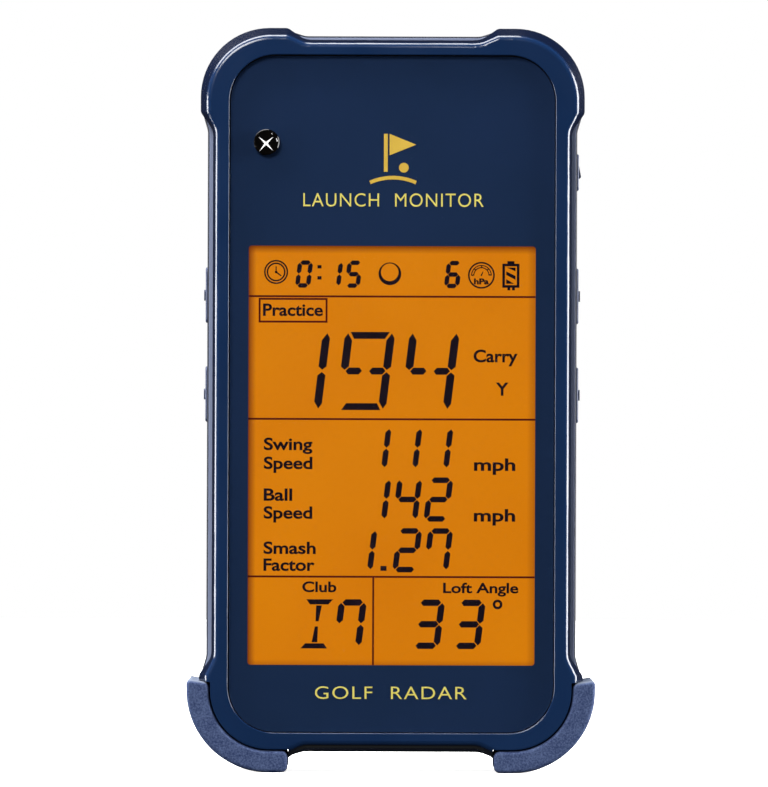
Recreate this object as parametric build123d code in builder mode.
from build123d import *

import os

# Pocket golf launch monitor: a hand-sized radar unit with a fold-out rear stand.
#
# Frame: millimetres, +Z up, the display faces -Y, X runs to the viewer's right. The origin is the
# centre of the footprint that the unit stands on with its stand folded, so the feet touch Z = 0.
# Front-view sketches are drawn about the middle of the case, CENTRE_Z above the ground.

# ---------------------------------------------------------------- driving dimensions
CENTRE_Z = 73.9  # height of the middle of the case above its feet
FRONT_Y, REAR_Y = -11.5, 11.5  # faces of the case
PART_LINE_Y = -4.0  # where the front bezel meets the rear case
FIT = 0.25  # gap between the moving stand and the case
BOOT_GAP = 0.15  # gap at the ends of the boots

# Case outline: a rounded rectangle that is waisted between four corner bumpers.
BUMPER_W, BUMPER_H, BUMPER_R = 37.5, 71.45, 13.5  # half width, half height and corner radius
WAIST_W, WAIST_H = 35.05, 69.15  # half width and half height between the bumpers
FACE_BUMPER_W, FACE_BUMPER_H = 36.05, 69.7  # the same outline on the bezel's front face
FACE_WAIST_W, FACE_WAIST_H = 34.5, 68.45
REAR_BUMPER_W, REAR_BUMPER_H = 37.2, 71.15  # the same outline on the rear case
REAR_WAIST_W, REAR_WAIST_H = 36.17, 70.06
SHOULDER_Y = -8.6  # where the bezel's sloping edge ends
RIDGE_R = 1.1  # rounding between the bezel's face and its sloping edge
BACK_SHOULDER_Y, BACK_INSET = 9.7, 1.4  # the rear case's sloping edge
RIM_R = 0.5  # rounding of the rear case's edge at the parting line

# Front window and display.
LENS_W, LENS_H, LENS_R = 63.2, 131.8, 8.8
LENS_Y, LENS_T = FRONT_Y + 0.2, 1.2
LENS_GAP = 0.25
POCKET_EDGE_R = 0.2  # rounding of the bezel round the lens
PRINT_T = 0.15
WINDOW_W, WINDOW_H, WINDOW_Z = 56.0, 81.8, -12.0
WINDOW_R = 0.6
APERTURE_INSET = 1.5  # width of the bezel's ledge behind the lens
GASKET_T = 0.85
GLASS_W, GLASS_TOP, GLASS_BOTTOM = 59.2, 32.4, -60.0
SHEET_T, CONTACT_LEDGE = 1.1, 5.4
FRAME_W, FRAME_TOP, FRAME_BOTTOM = 63.8, 36.9, -63.6
BOARD_Y, BOARD_T = -3.4, 1.6  # front face and thickness of the main board
BOARD_W, BOARD_TOP, BOARD_BOTTOM = 58.0, 65.2, -65.2

# Remote-control eye in the upper left of the window.
EYE_X, EYE_Z, EYE_R = -24.6, 49.1, 2.5

# Radar and loudspeaker above the display.
RADAR_X, RADAR_Z, RADAR_W, RADAR_H = 2.5, 52.4, 42.0, 24.0
RADAR_Y, RADAR_T = -7.6, 1.0
PATCH, PATCH_PITCH = 3.6, 7.2
SPEAKER_Z, SPEAKER_R = 43.8, 14.0
SPEAKER_BACK_Y = 9.5

# Stand: a frame in the back whose lower corners carry the boots that wrap round the case.
BOOT_W, BOOT_H, BOOT_R = 39.9, 73.9, 16.1  # outside of the boots
SOCKET_W, SOCKET_H, SOCKET_R = 35.5, 69.6, 11.8  # inside of the boots
BOOT_TOP, BOOT_END = -55.7, 20.1  # where a boot stops on the side and along the bottom
BOOT_TILT = 0.16  # slope of a boot's upper end, lower on the inside
BOOT_EDGE_R, BOOT_END_R, BOOT_TIP_R = 0.7, 1.3, 0.8
PLATE_SETBACK = 0.4  # how far the stand's plate stops short of the end of a boot
STAND_Y, STAND_T = 8.3, 3.2
STAND_FLOOR_Y = 8.1  # floor of the recess that the stand folds into
ARM_IN, ARM_OUT = 26.8, 33.4
CHANNEL_IN, CHANNEL_OUT = 26.2, 33.9
BAR_TOP, BAR_BOTTOM = -54.6, -69.4
HINGE_Y, HINGE_Z = 8.6, -2.2
BARREL_R, PIN_R, PIN_CLEARANCE = 2.3, 1.0, 0.05
PIN_IN, PIN_OUT = 22.6, 35.4
TONGUE_X, TONGUE_Z, TONGUE_L, TONGUE_T, TONGUE_DEPTH = 33.4, -67.5, 6.5, 1.8, 5.0

# Battery bay for four size AAA cells.
CELL_R, CELL_LENGTH, CELL_PITCH = 5.25, 44.5, 11.2
CELL_Y = 4.45
BAY_W, BAY_BOTTOM, BAY_TOP = 22.4, -49.6, 1.2  # half width, then levels
BAY_FLOOR_Y, BAY_WALL = -1.0, 1.6
PLATE_T = 0.4
SPRING_R, SPRING_WIRE_R = 3.0, 0.3
DOOR_W, DOOR_BOTTOM, DOOR_TOP, DOOR_T = 24.7, -51.2, 2.9, 1.5
DOOR_GAP = 0.3
KNUCKLE_Y, KNUCKLE_Z, KNUCKLE_R, KNUCKLE_X, KNUCKLE_L = 10.95, -52.4, 0.55, 14.0, 5.0
TRUNNION_PLAY = 0.06

# Side keys.
KEY_Y, KEY_W = 1.0, 4.6
KEY_PROUD, NIB_PROUD = 0.4, 0.3
ROCKER_LENGTH, NIB_LENGTH = 10.9, 2.1
ROCKER_HEIGHTS = (19.3, -0.1)
POWER_LENGTH, POWER_Z = 7.2, 43.6
KEY_GAP = 0.25
KEY_WALL_X = 34.4  # inside of the side wall at the keys
FLANGE_X, FLANGE_T, FLANGE_LIP = 33.25, 0.8, 0.6
PIVOT_X, PIVOT_R, PIVOT_L = 33.65, 0.6, 1.0
SIDE_BOARD_X, SIDE_BOARD_T = 29.8, 1.0
SWITCH_H, PLUNGER_H = 1.5, 0.7

# Fasteners.
CASE_SCREWS = [(sx * x, z) for x, z in ((27.5, 61.5), (29.0, -63.6)) for sx in (-1, 1)]
BOARD_SCREWS = [(sx * 20.0, z) for z in (34.9, -61.9) for sx in (-1, 1)]
SCREW_R, SCREW_HEAD_R, SCREW_HEAD_H = 1.0, 1.8, 1.5
SCREW_SEAT_Y, SCREW_TIP_Y = 4.0, -7.6
BOSS_R = 2.4
BOARD_SCREW_R, BOARD_SCREW_HEAD_R = 0.8, 1.5


# ---------------------------------------------------------------- planes and outlines
def front_plane(y):
    """Plane at depth y seen from the front, centred on the case; extruding goes towards -Y."""
    return Plane(origin=(0, y, CENTRE_Z), x_dir=(1, 0, 0), z_dir=(0, -1, 0))


def side_plane(side, x, z):
    """Plane on the left (-1) or right (+1) side at the keys; extruding goes outwards."""
    return Plane(origin=(side * x, KEY_Y, CENTRE_Z + z), x_dir=(0, side, 0), z_dir=(side, 0, 0))


def block(x_range, y_range, z_range, mode=Mode.ADD):
    """Box between limits, its Z limits measured from the middle of the case."""
    sizes = [high - low for low, high in (x_range, y_range, z_range)]
    middle = [(low + high) / 2 for low, high in (x_range, y_range, z_range)]
    with Locations((middle[0], middle[1], CENTRE_Z + middle[2])):
        Box(*sizes, mode=mode)


def mirrored_block(side, x_range, y_range, z_range, mode=Mode.ADD):
    """The same box on the left (-1) or right (+1) side."""
    low, high = sorted((side * x_range[0], side * x_range[1]))
    block((low, high), y_range, z_range, mode)


def rod(axis, radius, start, end, across, mode=Mode.ADD):
    """Round rod along X, Y or Z from start to end; across gives its other two coordinates."""
    middle, length = (start + end) / 2, abs(end - start)
    if axis == "X":
        place, turn = (middle, across[0], CENTRE_Z + across[1]), (0, 90, 0)
    elif axis == "Y":
        place, turn = (across[0], middle, CENTRE_Z + across[1]), (90, 0, 0)
    else:
        place, turn = (across[0], across[1], CENTRE_Z + middle), (0, 0, 0)
    with Locations(place):
        Cylinder(radius, length, rotation=turn, mode=mode)


def bumper_loop(bumper_w, bumper_h, waist_w, waist_h, radius=BUMPER_R):
    """Closed line round the case: for each corner, waist, bumper end, corner, bumper end, waist."""
    side_low, side_high = 51.4, 54.9
    top_in, top_out = 17.2, 20.5
    quarter = [
        (waist_w, side_low, 3.5),
        (bumper_w, side_high, 1.6),
        (bumper_w, bumper_h, radius),
        (top_out, bumper_h, 1.4),
        (top_in, waist_h, 4.5),
    ]
    loop = []
    for sx, sz in ((1, 1), (-1, 1), (-1, -1), (1, -1)):
        corner = [(sx * x, sz * z, r) for x, z, r in quarter]
        loop += corner if sx * sz > 0 else corner[::-1]
    FilletPolyline(*[(x, z) for x, z, _ in loop], radius=[r for *_, r in loop], close=True)


def boot_top(x, gap=0.0):
    """Level of a boot's sloping upper end at a distance x from the middle, or a gap above it."""
    return BOOT_TOP + gap - BOOT_TILT * (BOOT_W - x)


def corner_zone(gap):
    """Two areas that cover the boots, with a gap all round their ends."""
    start_x, end_x, low = BOOT_END - gap, 60, -90
    for side in (-1, 1):
        Polygon(
            (side * start_x, low),
            (side * end_x, low),
            (side * end_x, boot_top(end_x, gap)),
            (side * start_x, boot_top(start_x, gap)),
            align=None,
        )


def save(piece, name):
    """Labels a finished sub-part and writes it as its own STEP file."""
    piece.part.label = name
    export_step(piece.part, f"parts/{name}.step")


os.makedirs("parts", exist_ok=True)

# ---------------------------------------------------------------- front bezel
lens_back_y = LENS_Y + LENS_T
print_back_y = lens_back_y + PRINT_T
glass_y = print_back_y + GASKET_T
glass_step_y = glass_y + SHEET_T
light_y = glass_step_y + SHEET_T
ledge_back_y = -8.6
board_back_y = BOARD_Y + BOARD_T
cavity_w, cavity_h, cavity_r = 33.3, 66.95, 9.7
inner_back_y = STAND_FLOOR_Y - 1.6

with BuildPart() as front_bezel:
    with BuildSketch(front_plane(PART_LINE_Y)):
        with BuildLine():
            bumper_loop(BUMPER_W, BUMPER_H, WAIST_W, WAIST_H)
        make_face()
    extrude(amount=PART_LINE_Y - SHOULDER_Y)
    with BuildSketch(front_plane(SHOULDER_Y)):
        with BuildLine():
            bumper_loop(BUMPER_W, BUMPER_H, WAIST_W, WAIST_H)
        make_face()
    with BuildSketch(front_plane(FRONT_Y)):
        with BuildLine():
            bumper_loop(FACE_BUMPER_W, FACE_BUMPER_H, FACE_WAIST_W, FACE_WAIST_H, BUMPER_R - 0.8)
        make_face()
    loft(ruled=True)
    fillet(front_bezel.faces().sort_by(Axis.Y)[0].outer_wire().edges(), RIDGE_R)
    # Lens pocket, its ledge and the open inside.
    with BuildSketch(front_plane(print_back_y)):
        RectangleRounded(LENS_W + 2 * LENS_GAP, LENS_H + 2 * LENS_GAP, LENS_R + LENS_GAP)
    extrude(amount=print_back_y - FRONT_Y, mode=Mode.SUBTRACT)
    with BuildSketch(front_plane(PART_LINE_Y)):
        RectangleRounded(
            LENS_W - 2 * APERTURE_INSET, LENS_H - 2 * APERTURE_INSET, LENS_R - APERTURE_INSET
        )
    extrude(amount=PART_LINE_Y - FRONT_Y, mode=Mode.SUBTRACT)
    with BuildSketch(front_plane(PART_LINE_Y)):
        RectangleRounded(2 * cavity_w, 2 * cavity_h, cavity_r)
    extrude(amount=PART_LINE_Y - ledge_back_y, mode=Mode.SUBTRACT)
    fillet(front_bezel.faces().sort_by(Axis.Y)[0].inner_wires()[0].edges(), POCKET_EDGE_R)
    # Screw bosses.
    for x, z in CASE_SCREWS:
        rod("Y", BOSS_R, ledge_back_y - 0.5, PART_LINE_Y, (x, z))
        rod("Y", SCREW_R, SCREW_TIP_Y, PART_LINE_Y, (x, z), Mode.SUBTRACT)
    # Rebates where the stand's boots nest round the lower corners.
    with BuildSketch(front_plane(PART_LINE_Y)):
        corner_zone(BOOT_GAP)
        RectangleRounded(
            2 * (SOCKET_W - FIT), 2 * (SOCKET_H - FIT), SOCKET_R - FIT, mode=Mode.SUBTRACT
        )
    extrude(amount=PART_LINE_Y - FRONT_Y, mode=Mode.SUBTRACT)
save(front_bezel, "front_bezel")

# ---------------------------------------------------------------- window and display stack
with BuildPart() as display_lens:
    with BuildSketch(front_plane(lens_back_y)):
        RectangleRounded(LENS_W, LENS_H, LENS_R)
    extrude(amount=LENS_T)
    chamfer(display_lens.faces().sort_by(Axis.Y)[0].outer_wire().edges(), 0.2)
    rod("Y", EYE_R + 0.02, FRONT_Y, lens_back_y, (EYE_X, EYE_Z), Mode.SUBTRACT)
save(display_lens, "display_lens")

with BuildPart() as lens_print:
    with BuildSketch(front_plane(print_back_y)):
        RectangleRounded(LENS_W, LENS_H, LENS_R)
        with Locations((0, WINDOW_Z)):
            RectangleRounded(WINDOW_W, WINDOW_H, WINDOW_R, mode=Mode.SUBTRACT)
        with Locations((EYE_X, EYE_Z)):
            Circle(EYE_R - 0.5, mode=Mode.SUBTRACT)
    extrude(amount=PRINT_T)
save(lens_print, "lens_print")

with BuildPart() as eye_window:
    rod("Y", EYE_R, LENS_Y, lens_back_y, (EYE_X, EYE_Z))
    with BuildSketch(front_plane(LENS_Y)):
        with Locations((EYE_X, EYE_Z)):
            Circle(EYE_R)
    extrude(amount=0.15, taper=45)
save(eye_window, "eye_window")

with BuildPart() as eye_sensor:
    block((EYE_X - 2.4, EYE_X + 2.4), (-8.0, BOARD_Y), (EYE_Z - 2.8, EYE_Z + 2.8))
    with Locations((EYE_X, -8.0, CENTRE_Z + EYE_Z)):
        Sphere(1.6)
save(eye_sensor, "eye_sensor")

with BuildPart() as lcd_gasket:
    with BuildSketch(front_plane(glass_y)):
        with Locations((0, (GLASS_TOP + GLASS_BOTTOM) / 2)):
            Rectangle(GLASS_W, GLASS_TOP - GLASS_BOTTOM)
        with Locations((0, WINDOW_Z)):
            Rectangle(WINDOW_W + 0.6, WINDOW_H + 0.6, mode=Mode.SUBTRACT)
    extrude(amount=GASKET_T)
save(lcd_gasket, "lcd_gasket")

half_glass = GLASS_W / 2
with BuildPart() as lcd_glass:
    block((-half_glass, half_glass), (glass_y, glass_step_y), (GLASS_BOTTOM, GLASS_TOP))
    block(
        (-half_glass, half_glass), (glass_step_y, light_y), (GLASS_BOTTOM + CONTACT_LEDGE, GLASS_TOP)
    )
save(lcd_glass, "lcd_glass")

with BuildPart() as lcd_backlight:
    block((-half_glass, half_glass), (light_y, BOARD_Y), (GLASS_BOTTOM + CONTACT_LEDGE, GLASS_TOP))
save(lcd_backlight, "lcd_backlight")

with BuildPart() as lcd_connector:
    block((-26.5, 26.5), (glass_step_y, BOARD_Y), (GLASS_BOTTOM + 0.6, GLASS_BOTTOM + 3.2))
save(lcd_connector, "lcd_connector")

with BuildPart() as lcd_frame:
    with BuildSketch(front_plane(BOARD_Y)):
        with Locations((0, (FRAME_TOP + FRAME_BOTTOM) / 2)):
            RectangleRounded(FRAME_W, FRAME_TOP - FRAME_BOTTOM, 2.5)
        with Locations((0, (GLASS_TOP + GLASS_BOTTOM) / 2)):
            Rectangle(GLASS_W + 0.3, GLASS_TOP - GLASS_BOTTOM + 0.3, mode=Mode.SUBTRACT)
        with Locations(*CASE_SCREWS):
            Circle(BOSS_R + 0.3, mode=Mode.SUBTRACT)
    extrude(amount=BOARD_Y - ledge_back_y)
    for x, z in BOARD_SCREWS:
        rod("Y", BOARD_SCREW_R, BOARD_Y - 4.0, BOARD_Y, (x, z), Mode.SUBTRACT)
save(lcd_frame, "lcd_frame")

# ---------------------------------------------------------------- boards
with BuildPart() as main_board:
    with BuildSketch(front_plane(board_back_y)):
        with Locations((0, (BOARD_TOP + BOARD_BOTTOM) / 2)):
            RectangleRounded(BOARD_W, BOARD_TOP - BOARD_BOTTOM, 3)
        with Locations(*CASE_SCREWS):
            Circle(3.7, mode=Mode.SUBTRACT)
        with Locations(*BOARD_SCREWS):
            Circle(BOARD_SCREW_R, mode=Mode.SUBTRACT)
    extrude(amount=BOARD_T)
save(main_board, "main_board")

with BuildPart() as board_chips:
    chip_top_y = board_back_y + 1.4
    for x, z, w, h in ((-14, 20, 11, 11), (4, 22, 7, 6), (14, 17, 5, 5), (-20, 50, 8, 6), (16, 49, 6, 8)):
        block((x - w / 2, x + w / 2), (board_back_y, chip_top_y), (z - h / 2, z + h / 2))
    for x, z in ((-4, 13), (-1, 13), (22, 12), (22, 56), (17, 58), (-14, 60), (-8, 60)):
        block((x - 0.8, x + 0.8), (board_back_y, board_back_y + 0.8), (z - 1.2, z + 1.2))
save(board_chips, "board_chips")

radar_span = (RADAR_X - RADAR_W / 2, RADAR_X + RADAR_W / 2)
radar_rise = (RADAR_Z - RADAR_H / 2, RADAR_Z + RADAR_H / 2)
with BuildPart() as radar_board:
    block(radar_span, (RADAR_Y, RADAR_Y + RADAR_T), radar_rise)
save(radar_board, "radar_board")

with BuildPart() as radar_patches:
    with BuildSketch(front_plane(RADAR_Y)):
        with Locations((RADAR_X, RADAR_Z)):
            with GridLocations(PATCH_PITCH, PATCH_PITCH, 5, 3):
                Rectangle(PATCH, PATCH)
    extrude(amount=0.1)
save(radar_patches, "radar_patches")

with BuildPart() as radar_shield:
    block(
        (RADAR_X - 9, RADAR_X + 9), (RADAR_Y + RADAR_T, RADAR_Y + RADAR_T + 2), (RADAR_Z - 7, RADAR_Z + 7)
    )
save(radar_shield, "radar_shield")

with BuildPart() as radar_spacers:
    for x in (radar_span[0] + 2.5, radar_span[1] - 2.5):
        for z in (radar_rise[0] + 2.5, radar_rise[1] - 2.5):
            rod("Y", 1.5, RADAR_Y + RADAR_T, BOARD_Y, (x, z))
save(radar_spacers, "radar_spacers")

side_board_spans = {-1: (-8.0, 27.5), 1: (-8.0, 48.5)}
with BuildPart() as side_boards:
    for side, span in side_board_spans.items():
        mirrored_block(side, (SIDE_BOARD_X, SIDE_BOARD_X + SIDE_BOARD_T), (-3.0, 4.2), span)
save(side_boards, "side_boards")

with BuildPart() as board_links:
    for side in (-1, 1):
        mirrored_block(side, (27.8, SIDE_BOARD_X), (board_back_y, -0.6), (6.0, 14.0))
save(board_links, "board_links")

switch_x = SIDE_BOARD_X + SIDE_BOARD_T
rocker_switches = [(side, z + dz) for side in (-1, 1) for z in ROCKER_HEIGHTS for dz in (-3.6, 3.6)]
with BuildPart() as key_switches:
    for side, z in rocker_switches + [(1, POWER_Z)]:
        plunger_h = PLUNGER_H if (side, z) in rocker_switches else PLUNGER_H - 0.3
        body = (switch_x, switch_x + SWITCH_H)
        mirrored_block(side, body, (KEY_Y - 1.5, KEY_Y + 1.5), (z - 1.5, z + 1.5))
        top = switch_x + SWITCH_H + plunger_h
        rod("X", 0.8, side * (switch_x + SWITCH_H), side * top, (KEY_Y, z))
save(key_switches, "key_switches")

# ---------------------------------------------------------------- loudspeaker
def speaker_plane(y):
    """Plane across the loudspeaker's axis at depth y."""
    return Plane(origin=(0, y, CENTRE_Z + SPEAKER_Z), x_dir=(1, 0, 0), z_dir=(0, -1, 0))


with BuildPart() as speaker_basket:
    with BuildSketch(speaker_plane(SPEAKER_BACK_Y)):
        Circle(SPEAKER_R)
        Circle(SPEAKER_R - 1.4, mode=Mode.SUBTRACT)
    extrude(amount=1.2)
    with BuildSketch(speaker_plane(SPEAKER_BACK_Y - 1.2)):
        Circle(SPEAKER_R)
        Circle(7, mode=Mode.SUBTRACT)
    extrude(amount=1.0)
save(speaker_basket, "speaker_basket")

with BuildPart() as speaker_magnet:
    with BuildSketch(speaker_plane(SPEAKER_BACK_Y - 2.2)):
        Circle(7.5)
    extrude(amount=2.6)
save(speaker_magnet, "speaker_magnet")

with BuildPart() as speaker_cone:
    with BuildSketch(speaker_plane(SPEAKER_BACK_Y - 1.2)):
        Circle(SPEAKER_R - 1.4)
    extrude(amount=-0.2)
    with Locations((0, SPEAKER_BACK_Y - 1.0, CENTRE_Z + SPEAKER_Z)):
        Cone(5, 3.6, 0.7, rotation=(-90, 0, 0), align=(Align.CENTER, Align.CENTER, Align.MIN))
save(speaker_cone, "speaker_cone")

with BuildPart() as speaker_leads:
    for x in (-10.5, 10.5):
        rod("Y", 0.45, board_back_y, SPEAKER_BACK_Y - 2.2, (x, SPEAKER_Z))
save(speaker_leads, "speaker_leads")

# ---------------------------------------------------------------- rear case
KEYS = [(side, z, ROCKER_LENGTH) for side in (-1, 1) for z in ROCKER_HEIGHTS] + [(1, POWER_Z, POWER_LENGTH)]
with BuildPart() as rear_case:
    with BuildSketch(front_plane(BACK_SHOULDER_Y)):
        with BuildLine():
            bumper_loop(REAR_BUMPER_W, REAR_BUMPER_H, REAR_WAIST_W, REAR_WAIST_H)
        make_face()
    extrude(amount=BACK_SHOULDER_Y - PART_LINE_Y)
    fillet(rear_case.faces().sort_by(Axis.Y)[0].outer_wire().edges(), RIM_R)
    with BuildSketch(front_plane(BACK_SHOULDER_Y)):
        with BuildLine():
            bumper_loop(REAR_BUMPER_W, REAR_BUMPER_H, REAR_WAIST_W, REAR_WAIST_H)
        make_face()
    with BuildSketch(front_plane(REAR_Y)):
        with BuildLine():
            bumper_loop(
                REAR_BUMPER_W - BACK_INSET,
                REAR_BUMPER_H - BACK_INSET,
                REAR_WAIST_W - BACK_INSET,
                REAR_WAIST_H - BACK_INSET,
                BUMPER_R - BACK_INSET,
            )
        make_face()
    loft(ruled=True)
    # Inside: shallow all over, deeper above the battery bay.
    with BuildSketch(front_plane(inner_back_y)):
        RectangleRounded(2 * cavity_w, 2 * cavity_h, cavity_r)
    extrude(amount=inner_back_y - PART_LINE_Y, mode=Mode.SUBTRACT)
    block((-31, 31), (inner_back_y, SPEAKER_BACK_Y), (6.0, 64.0), Mode.SUBTRACT)
    # Battery bay walls and the housings of the stand's hinge.
    block(
        (-BAY_W - BAY_WALL, BAY_W + BAY_WALL),
        (board_back_y, inner_back_y),
        (BAY_BOTTOM - BAY_WALL, BAY_TOP + BAY_WALL),
    )
    for side in (-1, 1):
        mirrored_block(side, (BAY_W, 35.0), (4.6, inner_back_y), (HINGE_Z - 4.5, HINGE_Z + 4.5))
    # Screw bosses, and posts that press the main board forwards.
    for x, z in CASE_SCREWS:
        rod("Y", BOSS_R, PART_LINE_Y, 0.5, (x, z))
        rod("Y", SCREW_HEAD_R + 1.3, 0.5, inner_back_y + 0.5, (x, z))
    for x, z in ((26.0, -20.0), (26.0, -46.0), (24.5, 12.0), (24.5, 34.0)):
        for side in (-1, 1):
            rod("Y", 1.2, board_back_y, SPEAKER_BACK_Y if z > 0 else inner_back_y, (side * x, z))
    # Tongues that line the two halves of the case up.
    for side in (-1, 1):
        for low, high in ((-44.0, -28.0), (50.0, 56.0)):
            mirrored_block(side, (32.3, cavity_w - 0.1), (PART_LINE_Y - 1.6, PART_LINE_Y), (low, high))
            mirrored_block(side, (32.3, cavity_w + 0.5), (PART_LINE_Y, PART_LINE_Y + 1.6), (low, high))
    # Recess for the folded stand, and the rebates for its boots.
    for side in (-1, 1):
        mirrored_block(
            side,
            (CHANNEL_IN, CHANNEL_OUT),
            (STAND_FLOOR_Y, REAR_Y),
            (BAR_TOP, HINGE_Z + BARREL_R + 0.5),
            Mode.SUBTRACT,
        )
        mirrored_block(
            side,
            (CHANNEL_IN, CHANNEL_OUT),
            (HINGE_Y - BARREL_R - 0.4, REAR_Y),
            (HINGE_Z - BARREL_R - 0.5, HINGE_Z + BARREL_R + 0.5),
            Mode.SUBTRACT,
        )
        rod("X", PIN_R, side * BAY_W, side * PIN_OUT, (HINGE_Y, HINGE_Z), Mode.SUBTRACT)
    block(
        (-CHANNEL_OUT, CHANNEL_OUT), (STAND_FLOOR_Y, REAR_Y), (-80, BAR_TOP + 0.6), Mode.SUBTRACT
    )
    block((-9, 9), (STAND_FLOOR_Y - 1.8, REAR_Y), (-80, -68.7), Mode.SUBTRACT)
    with BuildSketch(front_plane(REAR_Y)):
        corner_zone(BOOT_GAP)
    extrude(amount=REAR_Y - STAND_FLOOR_Y, mode=Mode.SUBTRACT)
    with BuildSketch(front_plane(REAR_Y)):
        corner_zone(BOOT_GAP)
        RectangleRounded(
            2 * (SOCKET_W - FIT), 2 * (SOCKET_H - FIT), SOCKET_R - FIT, mode=Mode.SUBTRACT
        )
    extrude(amount=REAR_Y - PART_LINE_Y, mode=Mode.SUBTRACT)
    # Battery bay, its door rebate with knuckle notches, and slots for the contact tabs.
    block((-BAY_W, BAY_W), (BAY_FLOOR_Y, REAR_Y), (BAY_BOTTOM, BAY_TOP), Mode.SUBTRACT)
    block(
        (-DOOR_W - DOOR_GAP, DOOR_W + DOOR_GAP),
        (REAR_Y - DOOR_T - DOOR_GAP, REAR_Y),
        (DOOR_BOTTOM - DOOR_GAP, DOOR_TOP + DOOR_GAP),
        Mode.SUBTRACT,
    )
    block((-6, 6), (REAR_Y - 1.1, REAR_Y), (DOOR_TOP, DOOR_TOP + 3.5), Mode.SUBTRACT)
    for x in (-KNUCKLE_X, KNUCKLE_X):
        block(
            (x - KNUCKLE_L / 2 - DOOR_GAP, x + KNUCKLE_L / 2 + DOOR_GAP),
            (KNUCKLE_Y - KNUCKLE_R - DOOR_GAP, REAR_Y),
            (KNUCKLE_Z - KNUCKLE_R - DOOR_GAP, DOOR_BOTTOM),
            Mode.SUBTRACT,
        )
        reach = KNUCKLE_L / 2 + 1.4
        hole_r = KNUCKLE_R - 0.2 + TRUNNION_PLAY
        rod("X", hole_r, x - reach, x + reach, (KNUCKLE_Y, KNUCKLE_Z), Mode.SUBTRACT)
    for x in (-1.5 * CELL_PITCH, 1.5 * CELL_PITCH):
        block(
            (x - 1.2, x + 1.2), (board_back_y - 0.1, 0), (BAY_BOTTOM, BAY_BOTTOM + PLATE_T), Mode.SUBTRACT
        )
    # Screw holes and counterbores.
    for x, z in CASE_SCREWS:
        rod("Y", SCREW_R + 0.15, PART_LINE_Y, SCREW_SEAT_Y, (x, z), Mode.SUBTRACT)
        rod("Y", SCREW_HEAD_R + 0.3, SCREW_SEAT_Y, REAR_Y, (x, z), Mode.SUBTRACT)
    # Loudspeaker grille.
    for row in (-2, -1, 0, 1, 2):
        with BuildSketch(speaker_plane(REAR_Y)):
            with Locations((0, row * 3.4)):
                SlotOverall(21 - 2.5 * abs(row), 1.5)
        extrude(amount=REAR_Y - SPEAKER_BACK_Y, mode=Mode.SUBTRACT)
    # Key windows with a thinner wall behind them, and the rockers' bearings.
    for side, z, length in KEYS:
        half = length / 2 + FLANGE_LIP + 0.5
        mirrored_block(side, (cavity_w - 0.1, KEY_WALL_X), (-3.3, 4.6), (z - half, z + half), Mode.SUBTRACT)
        with BuildSketch(side_plane(side, cavity_w, z)):
            RectangleRounded(KEY_W + 2 * KEY_GAP, length + 2 * KEY_GAP, 1.0 + KEY_GAP)
        extrude(amount=6, mode=Mode.SUBTRACT)
        if length == ROCKER_LENGTH:
            for end in (-1, 1):
                inner = KEY_Y + end * (KEY_W / 2 + FLANGE_LIP + 0.3)
                low, high = sorted((inner, inner + end * 0.9))
                mirrored_block(side, (PIVOT_X - 1.2, KEY_WALL_X + 0.2), (low, high), (z - 1.3, z + 1.3))
            reach = KEY_W / 2 + FLANGE_LIP + PIVOT_L + 0.15
            place = (side * PIVOT_X, z)
            rod("Y", PIVOT_R + PIN_CLEARANCE, KEY_Y - reach, KEY_Y + reach, place, Mode.SUBTRACT)
save(rear_case, "rear_case")

# ---------------------------------------------------------------- side keys
def rocker_key(side, z):
    """Rocker with a rib across its middle, turning on two stub pivots."""
    with BuildPart() as key:
        with BuildSketch(side_plane(side, FLANGE_X, z)):
            Rectangle(KEY_W + 2 * FLANGE_LIP, ROCKER_LENGTH + 2 * FLANGE_LIP)
        extrude(amount=FLANGE_T)
        with BuildSketch(side_plane(side, FLANGE_X, z)):
            RectangleRounded(KEY_W, ROCKER_LENGTH, 1.0)
        extrude(amount=REAR_WAIST_W + KEY_PROUD - FLANGE_X)
        pad = key.faces().sort_by(Axis.X)[-1 if side > 0 else 0]
        fillet(pad.outer_wire().edges(), 0.35)
        with BuildSketch(side_plane(side, REAR_WAIST_W, z)):
            RectangleRounded(KEY_W - 1.4, NIB_LENGTH, 0.5)
        extrude(amount=KEY_PROUD + NIB_PROUD)
        reach = KEY_W / 2 + FLANGE_LIP + PIVOT_L
        rod("Y", PIVOT_R, KEY_Y - reach, KEY_Y + reach, (side * PIVOT_X, z))
    return key


save(rocker_key(-1, ROCKER_HEIGHTS[0]), "left_upper_key")
save(rocker_key(-1, ROCKER_HEIGHTS[1]), "left_lower_key")
save(rocker_key(1, ROCKER_HEIGHTS[0]), "right_upper_key")
save(rocker_key(1, ROCKER_HEIGHTS[1]), "right_lower_key")

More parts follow.
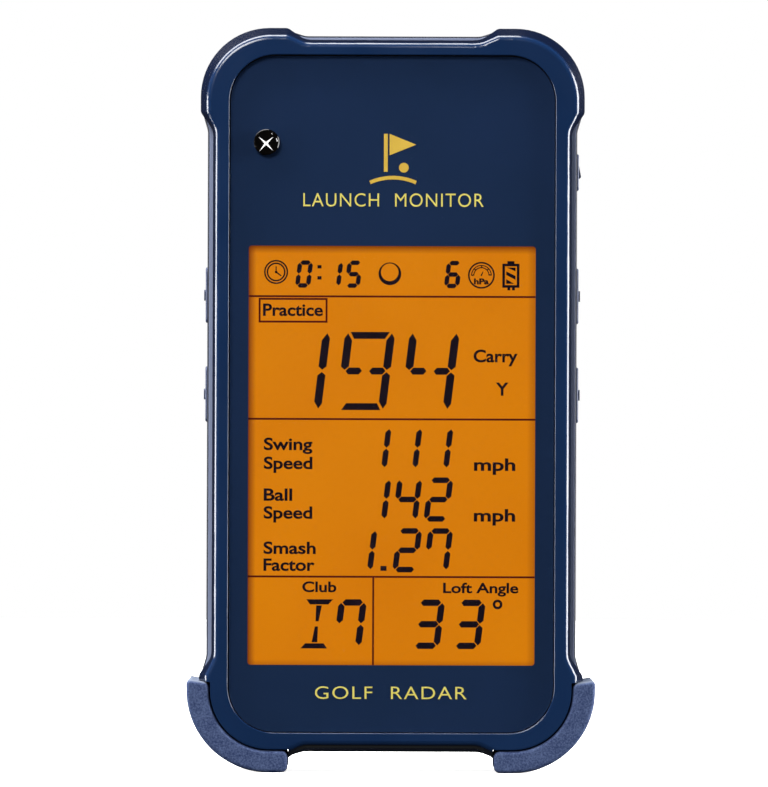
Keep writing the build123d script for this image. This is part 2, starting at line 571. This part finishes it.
with BuildPart() as power_button:
    with BuildSketch(side_plane(1, FLANGE_X, POWER_Z)):
        Rectangle(KEY_W + 2 * FLANGE_LIP, POWER_LENGTH + 2 * FLANGE_LIP)
    extrude(amount=FLANGE_T)
    with BuildSketch(side_plane(1, FLANGE_X, POWER_Z)):
        RectangleRounded(KEY_W, POWER_LENGTH, 1.0)
    extrude(amount=REAR_WAIST_W + KEY_PROUD - FLANGE_X)
    fillet(power_button.faces().sort_by(Axis.X)[-1].outer_wire().edges(), 0.35)
    pad_x = REAR_WAIST_W + KEY_PROUD
    with BuildSketch(Plane(origin=(0, KEY_Y, CENTRE_Z + POWER_Z), x_dir=(1, 0, 0), z_dir=(0, -1, 0))):
        with BuildLine():
            Polyline(
                (pad_x - 0.4, 1.4), (pad_x, 1.4), (pad_x + 0.45, -0.9), (pad_x, -1.3), (pad_x - 0.4, -1.3),
                close=True,
            )
        make_face()
    extrude(amount=(KEY_W - 1.4) / 2, both=True)
save(power_button, "power_button")

# ---------------------------------------------------------------- batteries
cell_xs = [(i - 1.5) * CELL_PITCH for i in range(4)]
low_end, high_end = BAY_BOTTOM + PLATE_T, BAY_TOP - PLATE_T
with BuildPart() as battery_cells:
    for i, x in enumerate(cell_xs):
        up = i % 2 == 0
        can_low = high_end - CELL_LENGTH if up else low_end + 0.8
        can_high = high_end - 0.8 if up else low_end + CELL_LENGTH
        rod("Z", CELL_R, can_low, can_high, (x, CELL_Y))
        nub_low, nub_high = (can_high, high_end) if up else (low_end, can_low)
        rod("Z", 1.9, nub_low, nub_high, (x, CELL_Y))
save(battery_cells, "battery_cells")

with BuildPart() as battery_springs:
    spring_rise = high_end - CELL_LENGTH - low_end - 2 * SPRING_WIRE_R
    for i, x in enumerate(cell_xs):
        base = low_end + SPRING_WIRE_R if i % 2 == 0 else low_end + CELL_LENGTH + SPRING_WIRE_R
        centre = (x, CELL_Y, CENTRE_Z + base)
        with BuildLine() as coil:
            Helix(pitch=spring_rise / 3, height=spring_rise, radius=SPRING_R, center=centre)
        with BuildSketch(Plane(coil.line @ 0, z_dir=coil.line % 0)):
            Circle(SPRING_WIRE_R)
        sweep(path=coil.line, is_frenet=True)
save(battery_springs, "battery_springs")

with BuildPart() as battery_plates:
    top_plates = [(cell_xs[0], cell_xs[1]), (cell_xs[2], cell_xs[3])]
    bottom_plates = [(cell_xs[0], cell_xs[0]), (cell_xs[1], cell_xs[2]), (cell_xs[3], cell_xs[3])]
    for plates, level in ((top_plates, high_end), (bottom_plates, BAY_BOTTOM)):
        for first, last in plates:
            block((first - 4.2, last + 4.2), (0.4, 8.6), (level, level + PLATE_T))
    for x in (cell_xs[0], cell_xs[3]):
        block((x - 1, x + 1), (board_back_y, 0.4), (BAY_BOTTOM, BAY_BOTTOM + PLATE_T))
save(battery_plates, "battery_plates")

with BuildPart() as battery_door:
    block((-DOOR_W, DOOR_W), (REAR_Y - DOOR_T, REAR_Y), (DOOR_BOTTOM, DOOR_TOP))
    for x in (-KNUCKLE_X, KNUCKLE_X):
        ends = (x - KNUCKLE_L / 2, x + KNUCKLE_L / 2)
        rod("X", KNUCKLE_R, ends[0], ends[1], (KNUCKLE_Y, KNUCKLE_Z))
        block(ends, (KNUCKLE_Y - 0.4, KNUCKLE_Y + KNUCKLE_R), (KNUCKLE_Z, DOOR_BOTTOM + 0.2))
        rod("X", KNUCKLE_R - 0.2, ends[0] - 1.2, ends[1] + 1.2, (KNUCKLE_Y, KNUCKLE_Z))
    # Latch tongue inside and grip ribs outside.
    block((-1.6, 1.6), (REAR_Y - DOOR_T - 1.5, REAR_Y - DOOR_T), (BAY_TOP - 1.4, BAY_TOP - 0.4))
    for row in range(5):
        level = DOOR_TOP - 7 - 2.2 * row
        block((-8, 8), (REAR_Y - 0.4, REAR_Y), (level, level + 0.9), Mode.SUBTRACT)
save(battery_door, "battery_door")

# ---------------------------------------------------------------- stand
def boot_cut(side):
    """Takes away everything above a boot's sloping upper end."""
    near, far, high = -5, 60, 90
    Polygon(
        (side * near, boot_top(near)),
        (side * far, boot_top(far)),
        (side * far, high),
        (side * near, high),
        align=None,
        mode=Mode.SUBTRACT,
    )


with BuildPart() as stand_frame:
    with BuildSketch(front_plane(STAND_Y + STAND_T)):
        RectangleRounded(2 * BOOT_W - 1, 2 * BOOT_H - 1, BOOT_R - 0.5)
        for side in (-1, 1):
            boot_cut(side)
        Rectangle(2 * (BOOT_END + PLATE_SETBACK), 200, mode=Mode.SUBTRACT)
        for side in (-1, 1):
            with Locations((side * (ARM_IN + ARM_OUT) / 2, (HINGE_Z + BAR_BOTTOM) / 2)):
                Rectangle(ARM_OUT - ARM_IN, HINGE_Z - BAR_BOTTOM)
        with Locations((0, (BAR_TOP + BAR_BOTTOM) / 2)):
            Rectangle(2 * ARM_OUT, BAR_TOP - BAR_BOTTOM)
    extrude(amount=STAND_T)
    for side in (-1, 1):
        rod("X", BARREL_R, side * ARM_IN, side * ARM_OUT, (HINGE_Y, HINGE_Z))
        rod("X", PIN_R + PIN_CLEARANCE, side * ARM_IN, side * ARM_OUT, (HINGE_Y, HINGE_Z), Mode.SUBTRACT)
        with BuildSketch(front_plane(STAND_Y)):
            with Locations((side * TONGUE_X, TONGUE_Z)):
                Rectangle(TONGUE_L, TONGUE_T, rotation=45 * side)
        extrude(amount=TONGUE_DEPTH)
save(stand_frame, "stand_frame")


def boot(side):
    """Soft cap round one lower corner, pushed on the stand's tongue."""
    with BuildPart() as cap:
        with BuildSketch(front_plane(STAND_Y)) as ring:
            RectangleRounded(2 * BOOT_W, 2 * BOOT_H, BOOT_R)
            RectangleRounded(2 * SOCKET_W, 2 * SOCKET_H, SOCKET_R, mode=Mode.SUBTRACT)
            with Locations((side * (BOOT_END - 100), 0)):
                Rectangle(200, 200, mode=Mode.SUBTRACT)
            boot_cut(side)
            across = ring.vertices().sort_by(Axis.X if side > 0 else -Axis.X)
            fillet(ring.vertices().sort_by(Axis.Y)[-2:-1] + across[:2], BOOT_END_R)
            fillet(ring.vertices().sort_by(Axis.Y)[-1], BOOT_TIP_R)
        extrude(amount=STAND_Y - FRONT_Y)
        fillet(cap.faces().sort_by(Axis.Y)[0].edges(), BOOT_EDGE_R)
        with BuildSketch(front_plane(STAND_Y)):
            with Locations((side * TONGUE_X, TONGUE_Z)):
                Rectangle(TONGUE_L, TONGUE_T, rotation=45 * side)
        extrude(amount=TONGUE_DEPTH, mode=Mode.SUBTRACT)
    return cap


save(boot(-1), "left_boot")
save(boot(1), "right_boot")

with BuildPart() as hinge_pins:
    for side in (-1, 1):
        rod("X", PIN_R, side * PIN_IN, side * PIN_OUT, (HINGE_Y, HINGE_Z))
save(hinge_pins, "hinge_pins")

with BuildPart() as hinge_washers:
    for side in (-1, 1):
        rod("X", 2.0, side * CHANNEL_IN, side * (CHANNEL_IN + 0.35), (HINGE_Y, HINGE_Z))
        rod("X", PIN_R, side * CHANNEL_IN, side * (CHANNEL_IN + 0.35), (HINGE_Y, HINGE_Z), Mode.SUBTRACT)
save(hinge_washers, "hinge_washers")

# ---------------------------------------------------------------- screws
with BuildPart() as case_screws:
    for x, z in CASE_SCREWS:
        rod("Y", SCREW_R, SCREW_TIP_Y, SCREW_SEAT_Y, (x, z))
        rod("Y", SCREW_HEAD_R, SCREW_SEAT_Y, SCREW_SEAT_Y + SCREW_HEAD_H, (x, z))
        block(
            (x - 1.2, x + 1.2),
            (SCREW_SEAT_Y + SCREW_HEAD_H - 0.8, SCREW_SEAT_Y + SCREW_HEAD_H),
            (z - 0.25, z + 0.25),
            Mode.SUBTRACT,
        )
        block(
            (x - 0.25, x + 0.25),
            (SCREW_SEAT_Y + SCREW_HEAD_H - 0.8, SCREW_SEAT_Y + SCREW_HEAD_H),
            (z - 1.2, z + 1.2),
            Mode.SUBTRACT,
        )
save(case_screws, "case_screws")

with BuildPart() as board_screws:
    for x, z in BOARD_SCREWS:
        rod("Y", BOARD_SCREW_R, BOARD_Y - 3.6, board_back_y, (x, z))
        rod("Y", BOARD_SCREW_HEAD_R, board_back_y, board_back_y + 1.1, (x, z))
save(board_screws, "board_screws")
